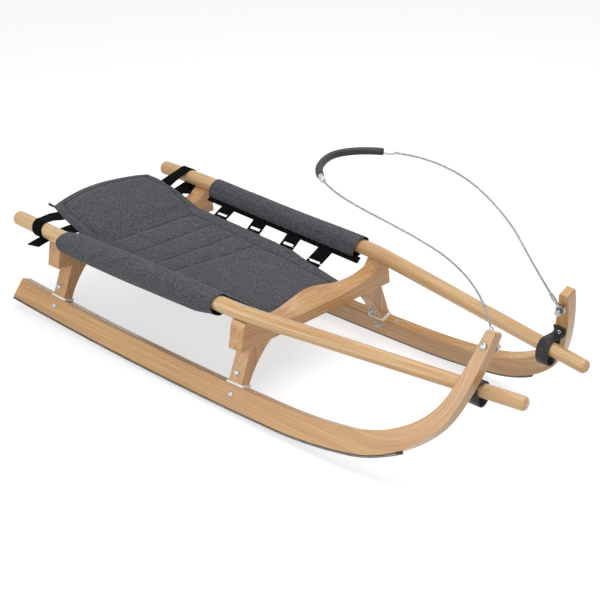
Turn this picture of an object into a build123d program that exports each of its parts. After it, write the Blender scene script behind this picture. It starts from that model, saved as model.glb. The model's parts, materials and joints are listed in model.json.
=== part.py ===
from build123d import *
import os
from math import cos, sin, tan, pi, radians, sqrt, isclose

# Wooden luge sled: +X forward to the horns, +Y to the sled's left, +Z up, origin on the floor
# under the middle of its length. Everything is in millimetres and degrees.

os.makedirs("parts", exist_ok=True)

# Runners: each is bent in a plane of its own, which leans inwards by the cant
half_track = 216.8
runner_cant = 21.5
runner_width = 23.0
runner_edge_radius = 2.5
heel_x = -593.0
heel_rake = 15.0
sole_heel_height = 16.0
deck_heel_height = 60.0
heel_slope = -2.7
# arcs of the sole and of the deck, from the heel to the horn's tip
sole_radii = (10430.0, 996.0, 268.0, 159.0, 597.0)
sole_turn_degrees = (4.1, 10.3, 36.4, 21.7, 14.0)
deck_radii = (10040.0, 1093.0, 281.0, 163.0, 1216.0)
deck_turn_degrees = (4.2, 8.1, 28.0, 34.6, 4.9)
horn_top_height = 312.0
horn_chamfer_rise = 4.0
horn_chamfer_run = 2.8
horn_nose_radius = 5.0

# Steel under each runner, on a thin dark strip
steel_width = 22.0
steel_thickness = 3.2
strip_thickness = 1.5
steel_last_turn_degrees = 21.0

# Yokes: a saddle-shaped crossbar on two splayed legs
front_yoke_x = 48.0
rear_yoke_x = -459.0
yoke_depth = 33.0
yoke_edge_radius = 2.0
front_bar_bottom = 124.0
rear_bar_bottom = 130.0
bar_end_height = 46.0
front_bar_inset = 10.8
rear_bar_inset = 2.8
bar_end_slope = 7.0
groove_depth = 3.0
groove_lip = 8.0
# columns: share of the bar's half length; heights of the front and the rear edge over the bottom
crest_shares = (0.0, 0.3, 0.58, 0.8)
crest_front_heights = (21.0, 21.5, 28.0, 37.0)
crest_rear_heights = (47.0, 36.0, 30.5, 39.0)
leg_top_inset = 88.8
leg_bow = 6.4
pad_thickness = 4.5
pad_length = 43.0
pad_width = 27.0
pad_corner = 5.0
seat_gap = 0.05

# Side rails: round rods, parted widest at the rear yoke, bent inwards at the front one
rail_radius = 15.0
rail_tip_radius = 12.5
rail_rear_round = 8.0
rail_tip_round = 7.0
rail_rear_overhang = 126.0
rail_front_reach = 545.5
rail_taper_start = 70.0
rail_rear_inset = 17.1
rear_yoke_rail_inset = 13.8
front_yoke_rail_inset = 32.8
rail_tip_inset = 131.5
rail_rear_height = 197.1
rear_yoke_rail_height = 196.0
front_yoke_rail_height = 190.0
rail_tip_height = 178.3
rear_bend_radius = 400.0
front_bend_radius = 400.0
fit_clearance = 0.3

# Seat sleeves: cloth rolls round the rails, the right one padded, the left one laced
sleeve_drop = 5.0
left_sleeve_rear_gap = 21.5
left_sleeve_front_gap = 1.5
left_sleeve_half_width = 20.0
left_sleeve_half_height = 22.0
left_sleeve_shift = 3.0
right_sleeve_rear_gap = 1.6
right_sleeve_front_gap = 33.0
right_sleeve_half_width = 23.0
right_sleeve_half_height = 28.0

# Seat: a quilted panel, laced to the left sleeve and sewn to the right one by a strip that rises
# from the panel's right fold; behind the rear yoke it ends in a free flap
seat_cloth = 8.0
seat_hem = 12.0
seat_front_gap = 3.5
seat_rear_gap = 17.5
seat_seam_height = 196.0
# seat columns: share of the length; insets of the fold and the left edge; heights of fold, middle and edge
seat_shares = (0.0, 0.33, 0.77, 1.0)
fold_insets = (94.8, 98.8, 108.8, 116.8)
seat_left_insets = (69.8, 65.8, 90.8, 110.8)
fold_heights = (167.0, 161.0, 156.0, 153.0)
seat_middle_heights = (165.0, 157.0, 153.0, 150.0)
seat_left_heights = (166.0, 158.0, 152.0, 149.0)
# flap columns: reach behind the rear yoke; right and left half widths; heights of the edges and the middle
flap_reaches = (133.0, 121.0, 108.0, 71.0, 17.0, -17.0)
flap_right_widths = (22.0, 70.0, 124.0, 130.0, 136.0, 138.0)
flap_left_widths = (25.0, 75.0, 120.0, 148.0, 151.0, 148.0)
flap_edge_heights = (212.0, 209.0, 206.0, 196.0, 181.0, 172.0)
flap_middle_heights = (213.0, 211.0, 209.0, 199.0, 186.0, 174.0)

# Webbing tabs that lace the pad's left edge to the left sleeve
tab_shares = (0.155, 0.369, 0.589, 0.788)
tab_width = 38.0
tab_roll_angle = 45.0
webbing_thickness = 2.0

# Webbing straps from the rails' rear ends to the flap, leather straps from the horns to the rails
rear_strap_reach = 61.0
rear_strap_width = 25.0
rear_strap_tuck = 8.0
rear_strap_play = 0.6
horn_strap_setback = 21.0
horn_strap_width = 24.0
horn_strap_thickness = 3.0
horn_strap_slack = 14.0
horn_strap_lean = 8.0
horn_strap_height = 219.0
horn_strap_patch = 24.0
horn_patch_setback = 15.0

# Bolts through the horns, which carry the end eyes of the steel pull cable
bolt_x = 527.0
bolt_height = 285.0
bolt_radius = 3.0
bolt_head_radius = 6.5
bolt_head_height = 3.0
bolt_head_round = 1.5
bolt_reach = 17.0
nut_radius = 5.5
nut_height = 4.0
eye_offset = 9.0
eye_inner_radius = 5.2
eye_outer_radius = 8.5
eye_thickness = 5.0
eye_neck_radius = 2.9
crimp_radius = 3.6
crimp_length = 14.0

# Steel pull cable with a rubber grip hose and two ferrules
cable_diameter = 4.0
grip_diameter = 13.5
grip_wall_gap = 0.4
grip_length = 200.0
ferrule_diameter = 10.0
ferrule_length = 18.0
corner_share = 0.45
half_share = 0.5
# columns: x, y, z of the cable's corners, from the left eye to the middle of the grip
cable_route = (
    (519.0, 88.0, 277.0),
    (500.0, 79.0, 308.0),
    (468.0, 76.0, 347.0),
    (425.0, 88.0, 383.0),
    (377.0, 102.0, 405.0),
    (323.0, 116.0, 423.0),
    (267.0, 123.0, 435.0),
    (209.0, 118.0, 443.0),
    (157.0, 98.0, 447.0),
    (113.0, 64.0, 449.0),
    (93.0, 18.0, 452.0),
)

cant = radians(runner_cant)
slope = radians(heel_slope)
sole_low = (sole_heel_height - sole_radii[0] * (1 - cos(slope))
            - strip_thickness - steel_thickness)
foot_lift = steel_width / 2 * sin(cant) - sole_low * cos(cant)
runner_plane = Plane(
    origin=(0, half_track, foot_lift), x_dir=(1, 0, 0), z_dir=(0, -cos(cant), -sin(cant))
)
outward = Vector(0, cos(cant), sin(cant))


def save(piece, label):
    piece.part.label = label
    export_step(piece.part, f"parts/{label}.step")


def mirrored(piece):
    with BuildPart() as twin:
        mirror(piece.part, about=Plane.XZ)
    return twin


def save_pair(left, name):
    """Write the left piece and its mirror image on the right."""
    save(left, f"{name}_left")
    save(mirrored(left), f"{name}_right")


def bend_chain(start_x, start_height, radii, turns, grow=0.0):
    """Tangent arcs in the runner's plane, moved outwards (down) by grow: end point and heading."""
    point = Vector(start_x + grow * sin(slope), start_height - grow * cos(slope))
    heading = heel_slope
    for radius, turn in zip(radii, turns):
        along = (cos(radians(heading)), sin(radians(heading)))
        arc = JernArc(start=point, tangent=along, radius=radius + grow, arc_size=turn)
        point = arc @ 1
        heading += turn
    return point, radians(heading)


def rise(point, heading, height):
    """The point reached at that height by going straight on."""
    return (point.X + (height - point.Y) / tan(heading), height)


def on_runner(x, height, out=0.0):
    """A point of the left runner's plane, moved outwards by out."""
    return runner_plane.from_local_coords(Vector(x, height, 0)) + outward * out


# Wooden runner with its horn, and the hole for the horn's bolt
with BuildPart() as runner:
    with BuildSketch(runner_plane):
        with BuildLine():
            sole_end, sole_heading = bend_chain(heel_x, sole_heel_height, sole_radii, sole_turn_degrees)
            deck_end, deck_heading = bend_chain(heel_x + heel_rake, deck_heel_height, deck_radii,
                                                deck_turn_degrees)
            Line((heel_x, sole_heel_height), (heel_x + heel_rake, deck_heel_height))
            chamfer_low = rise(deck_end, deck_heading, horn_top_height - horn_chamfer_rise)
            chamfer_high = (chamfer_low[0] + horn_chamfer_run, horn_top_height)
            nose = rise(sole_end, sole_heading, horn_top_height)
            Polyline(deck_end, chamfer_low, chamfer_high, nose, sole_end)
        make_face()
        fillet(vertices().sort_by(Axis.X)[-3:].sort_by(Axis.Y)[-1], horn_nose_radius)
    extrude(amount=runner_width / 2, both=True)
    deck_edges = edges().filter_by(GeomType.CIRCLE).filter_by(
        lambda edge: any(isclose(edge.radius, radius, rel_tol=1e-6) for radius in deck_radii))
    fillet(deck_edges, runner_edge_radius)
    with BuildSketch(runner_plane):
        with Locations((bolt_x, bolt_height)):
            Circle(bolt_radius + fit_clearance)
    extrude(amount=runner_width, both=True, mode=Mode.SUBTRACT)
save_pair(runner, "runner")


# Dark strip and steel, both along the sole up to the front bend
def sole_layer(inner, outer):
    steel_turns = sole_turn_degrees[:2] + (steel_last_turn_degrees,)
    with BuildPart() as layer:
        with BuildSketch(runner_plane):
            with BuildLine():
                starts, ends = [], []
                for grow in (inner, outer):
                    starts.append((heel_x + grow * sin(slope), sole_heel_height - grow * cos(slope)))
                    ends.append(bend_chain(heel_x, sole_heel_height, sole_radii, steel_turns, grow)[0])
                Line(*starts)
                Line(*ends)
            make_face()
        extrude(amount=steel_width / 2, both=True)
    return layer


save_pair(sole_layer(0, strip_thickness), "sole_strip")
save_pair(sole_layer(strip_thickness, strip_thickness + steel_thickness), "steel_rail")

# Side rails: a bent rod, tapered in front
rail_rear = Vector(rear_yoke_x - rail_rear_overhang, half_track - rail_rear_inset, rail_rear_height)
rear_pin = Vector(rear_yoke_x, half_track - rear_yoke_rail_inset, rear_yoke_rail_height)
front_pin = Vector(front_yoke_x, half_track - front_yoke_rail_inset, front_yoke_rail_height)
rail_tip = Vector(front_yoke_x + rail_front_reach, half_track - rail_tip_inset, rail_tip_height)
rear_heading = (rear_pin - rail_rear).normalized()
rail_heading = (front_pin - rear_pin).normalized()
tip_heading = (rail_tip - front_pin).normalized()
taper_start = front_pin + tip_heading * rail_taper_start


def bent_rod(radius):
    """The rail up to where its taper starts."""
    with BuildPart() as rod:
        with BuildLine() as path:
            FilletPolyline(rail_rear, rear_pin, front_pin, taper_start,
                           radius=(rear_bend_radius, front_bend_radius))
        with BuildSketch(Plane(origin=path.line @ 0, z_dir=path.line % 0)):
            Circle(radius)
        sweep()
    return rod


with BuildPart() as rail:
    add(bent_rod(rail_radius).part)
    with BuildSketch(Plane(origin=taper_start, z_dir=tip_heading)):
        Circle(rail_radius)
    with BuildSketch(Plane(origin=rail_tip, z_dir=tip_heading)):
        Circle(rail_tip_radius)
    loft()
    fillet(edges().sort_by(Axis.X)[-1], rail_tip_round)
    fillet(edges().sort_by(Axis.X)[0], rail_rear_round)
save_pair(rail, "side_rail")
rail_groove = bent_rod(rail_radius + fit_clearance)


def on_rail(x):
    """The rail's middle between the yokes, and a little way past them."""
    return rear_pin + rail_heading * ((x - rear_pin.X) / rail_heading.X)


# Yokes: crossbar, legs and white foot pads
# columns: name, x, bar bottom, bar half length, the rail's place on it
yokes = (
    ("front", front_yoke_x, front_bar_bottom, half_track - front_bar_inset, front_pin),
    ("rear", rear_yoke_x, rear_bar_bottom, half_track - rear_bar_inset, rear_pin),
)


def deck_frame(x):
    """Height and slope of the runner's top at x, on its first long arc."""
    centre_x = heel_x + heel_rake - deck_radii[0] * sin(slope)
    centre_height = deck_heel_height + deck_radii[0] * cos(slope)
    height = centre_height - sqrt(deck_radii[0] ** 2 - (x - centre_x) ** 2)
    return height, (x - centre_x) / deck_radii[0]


def crossbar_outline(bottom, half_length, pin, crest_heights):
    """Half a crossbar's upper outline, from the middle to the end."""
    crest = [(share * half_length, bottom + height)
             for share, height in zip(crest_shares, crest_heights)]
    seat_height = pin.Z - rail_radius + groove_depth
    end_top = (half_length - bar_end_slope, bottom + bar_end_height)
    seat = [(pin.Y - groove_lip, seat_height), (end_top[0] - groove_depth, seat_height)]
    return crest, seat + [end_top, (half_length, bottom)]


for name, x, bottom, half_length, pin in yokes:
    with BuildPart() as crossbar:
        for face_x, crest_heights in ((x + yoke_depth / 2, crest_front_heights),
                                      (x - yoke_depth / 2, crest_rear_heights)):
            crest, end = crossbar_outline(bottom, half_length, pin, crest_heights)
            with BuildSketch(Plane.YZ.offset(face_x)):
                with BuildLine():
                    Spline(*[(-y, z) for y, z in reversed(crest[1:])], *crest)
                    Polyline(crest[-1], *end)
                    Polyline((-crest[-1][0], crest[-1][1]), *[(-y, z) for y, z in end])
                    Line(end[-1], (-end[-1][0], end[-1][1]))
                make_face()
        loft(ruled=True)
        add(rail_groove.part, mode=Mode.SUBTRACT)
        mirror(rail_groove.part, about=Plane.XZ, mode=Mode.SUBTRACT)
    save(crossbar, f"{name}_crossbar")

    deck_height, deck_slope = deck_frame(x)
    foot_height = deck_height + pad_thickness
    foot_along = Vector(cos(deck_slope), -sin(deck_slope) * sin(cant), sin(deck_slope) * cos(cant))
    foot_plane = Plane(origin=on_runner(x, foot_height), x_dir=foot_along,
                       z_dir=foot_along.cross(outward))
    with BuildPart() as leg:
        outer_foot = on_runner(x, foot_height, runner_width / 2)
        inner_foot = on_runner(x, foot_height, -runner_width / 2)
        lean = -tan(cant)
        outer_top_y = outer_foot.Y + lean * (bottom - outer_foot.Z)
        inner_top_y = half_track - leg_top_inset
        low_z = foot_lift
        outer_low_y = outer_foot.Y + lean * (low_z - outer_foot.Z)
        inner_low_y = inner_foot.Y + lean * (low_z - inner_foot.Z)
        with BuildSketch(Plane.YZ.offset(x)):
            with BuildLine():
                Polyline((inner_foot.Y, inner_foot.Z), (inner_low_y, low_z), (outer_low_y, low_z),
                         (outer_top_y, bottom), (inner_top_y, bottom))
                middle = ((inner_top_y + inner_foot.Y) / 2 + leg_bow * cos(cant),
                          (bottom + inner_foot.Z) / 2 + leg_bow * sin(cant))
                ThreePointArc((inner_top_y, bottom), middle, (inner_foot.Y, inner_foot.Z))
            make_face()
        extrude(amount=yoke_depth / 2, both=True)
        upright = edges().filter_by(
            lambda edge: edge.bounding_box().size.X < seat_gap and edge.bounding_box().size.Z > bottom / 4)
        fillet(upright, yoke_edge_radius)
        split(bisect_by=foot_plane, keep=Keep.TOP)
    save_pair(leg, f"{name}_leg")

    with BuildPart() as foot_pad:
        with BuildSketch(foot_plane):
            RectangleRounded(pad_length, pad_width, pad_corner)
        extrude(amount=seat_gap - pad_thickness)
    save_pair(foot_pad, f"{name}_foot_pad")

# Seat sleeves round the rails
bar_front_face = rear_yoke_x + yoke_depth / 2
bar_rear_face = front_yoke_x - yoke_depth / 2


def sleeve_piece(start_x, end_x, half_width, half_height, shift):
    start = on_rail(start_x)
    with BuildPart() as sleeve:
        with BuildSketch(Plane(origin=start, x_dir=(rail_heading.Y, -rail_heading.X, 0),
                               z_dir=rail_heading)):
            with Locations((shift, sleeve_drop)):
                Ellipse(half_width, half_height)
            Circle(rail_radius + fit_clearance, mode=Mode.SUBTRACT)
        extrude(amount=(end_x - start_x) / rail_heading.X)
    return sleeve


left_sleeve = sleeve_piece(bar_front_face + left_sleeve_rear_gap, bar_rear_face - left_sleeve_front_gap,
                           left_sleeve_half_width, left_sleeve_half_height, left_sleeve_shift)
right_sleeve = sleeve_piece(bar_front_face + right_sleeve_rear_gap, bar_rear_face - right_sleeve_front_gap,
                            right_sleeve_half_width, right_sleeve_half_height, 0)
save(left_sleeve, "seat_sleeve_left")
save(mirrored(right_sleeve), "seat_sleeve_right")

# Quilted seat pad with its rear flap
seat_front_x = bar_rear_face - seat_front_gap
seat_rear_x = bar_front_face + seat_rear_gap


def right_edge(x):
    return right_sleeve_half_width + fit_clearance - on_rail(x).Y


# columns: x; right edge y and height; fold y and height; middle height; left edge y and height
seat_stations = [
    (rear_yoke_x - reach, -right, edge, seat_hem - right, edge, middle, left, edge)
    for reach, right, edge, middle, left in zip(flap_reaches, flap_right_widths, flap_edge_heights,
                                                flap_middle_heights, flap_left_widths)
]
for share, fold_inset, left_inset, fold_z, middle_z, left_z in zip(
        seat_shares, fold_insets, seat_left_insets, fold_heights, seat_middle_heights, seat_left_heights):
    x = seat_rear_x + share * (seat_front_x - seat_rear_x)
    seat_stations.append((x, right_edge(x), seat_seam_height, fold_inset - half_track, fold_z, middle_z,
                          half_track - left_inset, left_z))
with BuildPart() as seat_pad:
    for x, right_y, right_z, fold_y, fold_z, middle_z, left_y, left_z in seat_stations:
        middle_y = (fold_y + left_y) / 2
        with BuildSketch(Plane.YZ.offset(x)):
            with BuildLine():
                Line((right_y, right_z), (fold_y, fold_z))
                ThreePointArc((fold_y, fold_z), (middle_y, middle_z), (left_y, left_z))
                Line((left_y, left_z), (left_y, left_z - seat_cloth))
                ThreePointArc((left_y, left_z - seat_cloth), (middle_y, middle_z - seat_cloth),
                              (fold_y, fold_z - seat_cloth))
                Line((fold_y, fold_z - seat_cloth), (right_y, right_z - seat_cloth))
                Line((right_y, right_z - seat_cloth), (right_y, right_z))
            make_face()
    loft(ruled=True)
save(seat_pad, "seat_pad")


def seat_at(x):
    """Right edge y, left edge y and left edge height of the seat at x."""
    for rear, front in zip(seat_stations, seat_stations[1:]):
        if rear[0] <= x <= front[0]:
            along = (x - rear[0]) / (front[0] - rear[0])
            return [rear[column] + along * (front[column] - rear[column]) for column in (1, 6, 7)]


# Webbing tabs from the pad's left edge to the left sleeve
roll_turn = radians(tab_roll_angle)
with BuildPart() as tabs:
    for share in tab_shares:
        x = seat_rear_x + share * (seat_front_x - seat_rear_x)
        half = webbing_thickness / 2
        pad_y = max(seat_at(x + side * tab_width / 2)[1] for side in (-1, 1)) + fit_clearance
        pad_z = seat_at(x)[2] - seat_cloth / 2
        roll = on_rail(x + tab_width / 2)
        roll_y = roll.Y - left_sleeve_shift - left_sleeve_half_width * cos(roll_turn) - fit_clearance
        roll_z = roll.Z - sleeve_drop - left_sleeve_half_height * sin(roll_turn) - fit_clearance - half
        with BuildSketch(Plane.YZ.offset(x)):
            Polygon((pad_y, pad_z - half), (roll_y, roll_z - half), (roll_y, roll_z + half),
                    (pad_y, pad_z + half), align=None)
        extrude(amount=tab_width / 2, both=True)
save(tabs, "seat_tabs")


def loop(plane, inner, thickness, far, far_inner, width):
    """A flat band round a rod and round a second, smaller round at far."""
    with BuildPart() as band:
        for grow, mode in ((thickness, Mode.ADD), (0, Mode.SUBTRACT)):
            with BuildSketch(plane):
                with BuildLine():
                    CenterArc((0, 0), inner + grow, 0, 360)
                    CenterArc(far, far_inner + grow, 0, 360)
                make_hull()
            extrude(amount=width / 2, both=True, mode=mode)
    return band


# Webbing straps at the rails' rear ends, each looped round its rail and tucked under the flap
strap_x = rear_yoke_x - rear_strap_reach
strap_at = rail_rear + rear_heading * ((strap_x - rail_rear.X) / rear_heading.X)
strap_plane = Plane(origin=strap_at, x_dir=(-rear_heading.Y, rear_heading.X, 0), z_dir=rear_heading)
flap_right, flap_left, flap_edge_z = seat_at(strap_x + rear_strap_width)
flap_underside = flap_edge_z - seat_cloth - rear_strap_play
tip_z = flap_underside - webbing_thickness - fit_clearance - strap_at.Z


def rear_strap(edge_y):
    far = (edge_y - rear_strap_tuck - strap_at.Y, tip_z)
    return loop(strap_plane, rail_radius + fit_clearance, webbing_thickness, far, fit_clearance, rear_strap_width)


save(rear_strap(flap_left), "rear_strap_left")
save(mirrored(rear_strap(-flap_right)), "rear_strap_right")

# Leather straps: each hangs round its rail and is screwed to the horn's inner face
horn_strap_x = bolt_x - horn_strap_setback
strap_centre = front_pin + tip_heading * ((horn_strap_x - front_yoke_x) / tip_heading.X)
taper = (horn_strap_x - taper_start.X) / (rail_tip.X - taper_start.X)
rail_radius_here = rail_radius + (rail_tip_radius - rail_radius) * taper
ring_plane = Plane(origin=strap_centre, x_dir=(-tip_heading.Y, tip_heading.X, 0), z_dir=tip_heading)
half_thick = horn_strap_thickness / 2
patch_out = -runner_width / 2 - seat_gap - half_thick
patch_at = on_runner(bolt_x - horn_patch_setback, horn_strap_height, patch_out)
patch_plane = Plane(origin=patch_at, x_dir=(1, 0, 0), z_dir=outward)
ring_top = ring_plane.from_local_coords(Vector(0, rail_radius_here + fit_clearance + half_thick, 0))
with BuildPart() as horn_strap:
    add(loop(ring_plane, rail_radius_here + fit_clearance, horn_strap_thickness,
             (-horn_strap_lean, -horn_strap_slack), rail_radius_here - horn_strap_thickness,
             horn_strap_width).part)
    with BuildSketch(Plane(origin=patch_at, x_dir=(1, 0, 0), z_dir=(0, sin(cant), -cos(cant)))):
        Rectangle(horn_strap_width, horn_strap_thickness)
    with BuildSketch(Plane(origin=ring_top, x_dir=tip_heading, z_dir=(tip_heading.Y, -tip_heading.X, 0))):
        Rectangle(horn_strap_width, horn_strap_thickness)
    loft(ruled=True)
    with BuildSketch(patch_plane):
        Rectangle(horn_strap_width, horn_strap_patch)
    extrude(amount=half_thick, both=True)
save_pair(horn_strap, "horn_strap")

# Horn bolts: a domed head outside, a shank through the horn and a nut behind the cable's eye
inner_face = on_runner(bolt_x, bolt_height, -runner_width / 2)
outer_face = on_runner(bolt_x, bolt_height, runner_width / 2)
with BuildPart() as horn_bolt:
    with BuildSketch(Plane(origin=outer_face, x_dir=(1, 0, 0), z_dir=outward)):
        Circle(bolt_head_radius)
    extrude(amount=bolt_head_height)
    fillet(edges().sort_by(Axis(outer_face, outward))[-1], bolt_head_round)
    with BuildSketch(Plane(origin=outer_face, x_dir=(1, 0, 0), z_dir=outward * -1)):
        Circle(bolt_radius)
    extrude(amount=runner_width + bolt_reach)
    with BuildSketch(Plane(origin=inner_face - outward * bolt_reach, x_dir=(1, 0, 0),
                           z_dir=outward * -1)):
        RegularPolygon(nut_radius, 6)
    extrude(amount=nut_height)
save_pair(horn_bolt, "horn_bolt")

# End eyes: a ring round the bolt, a neck and a crimped sleeve on the cable
eye_centre = inner_face - outward * eye_offset
cable_start, cable_second = Vector(cable_route[0]), Vector(cable_route[1])
cable_heading = (cable_second - cable_start).normalized()
eye_plane = Plane(origin=eye_centre, x_dir=(1, 0, 0), z_dir=(0, -1, 0))
crimp_plane = Plane(origin=cable_start, z_dir=cable_heading)
with BuildPart() as eye:
    with BuildSketch(eye_plane):
        Circle(eye_outer_radius)
    extrude(amount=eye_thickness / 2, both=True)
    with BuildSketch(Plane(origin=eye_centre, x_dir=(1, 0, 0), z_dir=cable_start - eye_centre)):
        Circle(eye_neck_radius)
    extrude(amount=(cable_start - eye_centre).length)
    with BuildSketch(eye_plane):
        Circle(eye_inner_radius)
    extrude(amount=eye_thickness, both=True, mode=Mode.SUBTRACT)
    with BuildSketch(crimp_plane):
        Circle(crimp_radius)
    extrude(amount=crimp_length)
    with BuildSketch(crimp_plane):
        Circle(cable_diameter / 2 + grip_wall_gap)
    extrude(amount=crimp_length, mode=Mode.SUBTRACT)
save_pair(eye, "cable_eye")

# Pull cable from eye to eye
route = list(cable_route) + [(x, -y, z) for x, y, z in reversed(cable_route)]


def corner_radii(points):
    radii = []
    for before, here, after in zip(points, points[1:], points[2:]):
        into, out = Vector(here) - Vector(before), Vector(after) - Vector(here)
        half_turn = radians(into.get_angle(out)) / 2
        radii.append(corner_share * min(into.length, out.length) / tan(half_turn))
    return radii


radii = corner_radii(route)
with BuildPart() as cable:
    with BuildLine() as cable_line:
        FilletPolyline(*route, radius=radii)
    with BuildSketch(Plane(origin=cable_line.line @ 0, z_dir=cable_line.line % 0)):
        Circle(cable_diameter / 2)
    sweep()
save(cable, "pull_cable")
cable_length = sum(edge.length for edge in cable_line.edges())
cable_section = pi * cable_diameter**2 / 4
print("cable length", round(cable_length, 1), "radii", [round(r) for r in radii])
print("cable volume share", round(cable.part.volume / (cable_length * cable_section), 3))

# Rubber grip hose round the middle of the cable, a ferrule at each end of it
cable_wire = cable_line.wires()[0]


def on_cable(start, end, outer_radius):
    """A sleeve round the cable from start to end, measured from the middle of its length."""
    stretch = cable_wire.trim(half_share + start / cable_length, half_share + end / cable_length)
    with BuildPart() as hose:
        with BuildSketch(Plane(origin=stretch @ 0, z_dir=stretch % 0)):
            Circle(outer_radius)
            Circle(cable_diameter / 2 + grip_wall_gap, mode=Mode.SUBTRACT)
        sweep(path=stretch)
    return hose


save(on_cable(-grip_length / 2, grip_length / 2, grip_diameter / 2), "grip_hose")
ferrule_end = grip_length / 2 + ferrule_length
save_pair(on_cable(grip_length / 2, ferrule_end, ferrule_diameter / 2), "grip_ferrule")
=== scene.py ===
import json
from math import ceil, cos, exp, pi, radians, sin

import bpy
from mathutils import Matrix, Vector, noise
from mathutils.bvhtree import BVHTree

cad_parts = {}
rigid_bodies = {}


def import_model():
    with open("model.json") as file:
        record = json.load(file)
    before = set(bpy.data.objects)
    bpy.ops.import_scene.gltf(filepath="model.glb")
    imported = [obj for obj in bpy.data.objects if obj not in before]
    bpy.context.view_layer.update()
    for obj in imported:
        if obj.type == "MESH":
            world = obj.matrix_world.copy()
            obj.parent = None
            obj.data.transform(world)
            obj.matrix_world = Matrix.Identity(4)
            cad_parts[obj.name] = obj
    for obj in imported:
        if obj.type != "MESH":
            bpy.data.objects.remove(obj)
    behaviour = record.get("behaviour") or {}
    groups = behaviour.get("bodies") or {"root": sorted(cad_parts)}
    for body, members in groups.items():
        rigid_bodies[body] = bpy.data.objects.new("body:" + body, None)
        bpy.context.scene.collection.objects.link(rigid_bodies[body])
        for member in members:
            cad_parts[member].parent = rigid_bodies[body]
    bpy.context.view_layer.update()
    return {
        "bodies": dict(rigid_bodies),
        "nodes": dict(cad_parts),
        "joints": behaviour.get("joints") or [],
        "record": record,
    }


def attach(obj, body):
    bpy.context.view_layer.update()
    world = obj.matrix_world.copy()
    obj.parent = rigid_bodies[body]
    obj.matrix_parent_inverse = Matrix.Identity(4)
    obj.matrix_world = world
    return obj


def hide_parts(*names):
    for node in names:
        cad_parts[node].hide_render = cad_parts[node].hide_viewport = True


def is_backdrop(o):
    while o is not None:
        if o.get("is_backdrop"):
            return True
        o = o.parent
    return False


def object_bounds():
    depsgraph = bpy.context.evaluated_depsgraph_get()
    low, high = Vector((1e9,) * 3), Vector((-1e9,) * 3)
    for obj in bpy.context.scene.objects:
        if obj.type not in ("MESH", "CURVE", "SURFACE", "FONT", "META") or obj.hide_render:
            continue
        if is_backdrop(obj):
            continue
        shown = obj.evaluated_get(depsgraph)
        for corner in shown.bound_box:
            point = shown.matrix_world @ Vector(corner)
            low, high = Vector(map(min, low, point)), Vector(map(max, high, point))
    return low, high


# The looks of the luge sled, in metres, in the frame's own axes: +X forward to the horns,
# +Y to the sled's left, +Z up.

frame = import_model()
nodes = frame["nodes"]
scene = bpy.context.scene

LEFT, RIGHT = 1, -1
SIDE_NAMES = {LEFT: "left", RIGHT: "right"}
MM = 0.001
UP = Vector((0, 0, 1))
FORWARD = Vector((1, 0, 0))


# Camera: where the photograph was taken from
CAMERA_PLACE = (1.7219, -1.8371, 1.3579)
CAMERA_AZIMUTH = 42.90
CAMERA_ELEVATION = 25.89
CAMERA_ROLL = 0.39
CAMERA_LENS = 88.38

lens = bpy.data.cameras.new("camera")
lens.lens = CAMERA_LENS
lens.sensor_width = 36
camera = bpy.data.objects.new("camera", lens)
facing = (Matrix.Rotation(radians(CAMERA_AZIMUTH), 4, "Z")
          @ Matrix.Rotation(radians(90 - CAMERA_ELEVATION), 4, "X")
          @ Matrix.Rotation(radians(CAMERA_ROLL), 4, "Z"))
camera.matrix_world = Matrix.Translation(CAMERA_PLACE) @ facing
scene.collection.objects.link(camera)
scene.camera = camera


# Sizes that the pieces share with the CAD frame
HALF_TRACK = 0.2168
CANT = radians(21.5)
RUNNER_WIDTH = 0.023
SOLE_LIFT = 0.00429
RAIL_RADIUS = 0.015
RAIL_CORNERS = (Vector((-0.585, 0.1997, 0.1971)), Vector((-0.459, 0.203, 0.196)),
                Vector((0.048, 0.184, 0.190)), Vector((0.5935, 0.0853, 0.1783)))


def rail_at(x, side):
    """Middle of a side rail at x."""
    for rear, front in zip(RAIL_CORNERS, RAIL_CORNERS[1:]):
        if x <= front.x or front is RAIL_CORNERS[-1]:
            place = rear.lerp(front, (x - rear.x) / (front.x - rear.x))
            return Vector((place.x, side * place.y, place.z))


def on_runner(x, height, out, side):
    """A point of a runner's canted plane, and out from it towards its outer face."""
    return Vector((x, side * (HALF_TRACK - height * sin(CANT) + out * cos(CANT)),
                   SOLE_LIFT + height * cos(CANT) + out * sin(CANT)))


def outward(side):
    """The way that a runner's outer face looks."""
    return Vector((0, side * cos(CANT), sin(CANT)))


# Materials
def linear(hexes):
    """An sRGB hex colour as linear red, green, blue and alpha."""
    parts = [int(hexes[i:i + 2], 16) / 255 for i in (0, 2, 4)]
    return [p / 12.92 if p <= 0.04045 else ((p + 0.055) / 1.055) ** 2.4 for p in parts] + [1.0]


def add(tree, kind, *values, **settings):
    """Add a node. values go to its first inputs, settings to its attributes, its named inputs or its
    ramp's stops. A node or a socket among them is linked."""
    made = tree.nodes.new("ShaderNode" + kind)
    for key, value in [*enumerate(values), *settings.items()]:
        if key == "stops":
            ramp = made.color_ramp
            while len(ramp.elements) < len(value):
                ramp.elements.new(0.5)
            for element, (place, colour) in zip(ramp.elements, value):
                element.position = place
                element.color = linear(colour)
        elif isinstance(key, str) and hasattr(made, key):
            setattr(made, key, value)
        elif isinstance(value, bpy.types.Node):
            tree.links.new(value.outputs[0], made.inputs[key])
        elif isinstance(value, bpy.types.NodeSocket):
            tree.links.new(value, made.inputs[key])
        else:
            made.inputs[key].default_value = value
    return made


def finish_of(name, settings):
    """A new material with these settings on its Principled shader, its node tree, and its shader."""
    made = bpy.data.materials.new(name)
    made.use_nodes = True
    shader = made.node_tree.nodes["Principled BSDF"]
    for key, value in settings.items():
        shader.inputs[key].default_value = value
    return made, made.node_tree, shader


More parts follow.
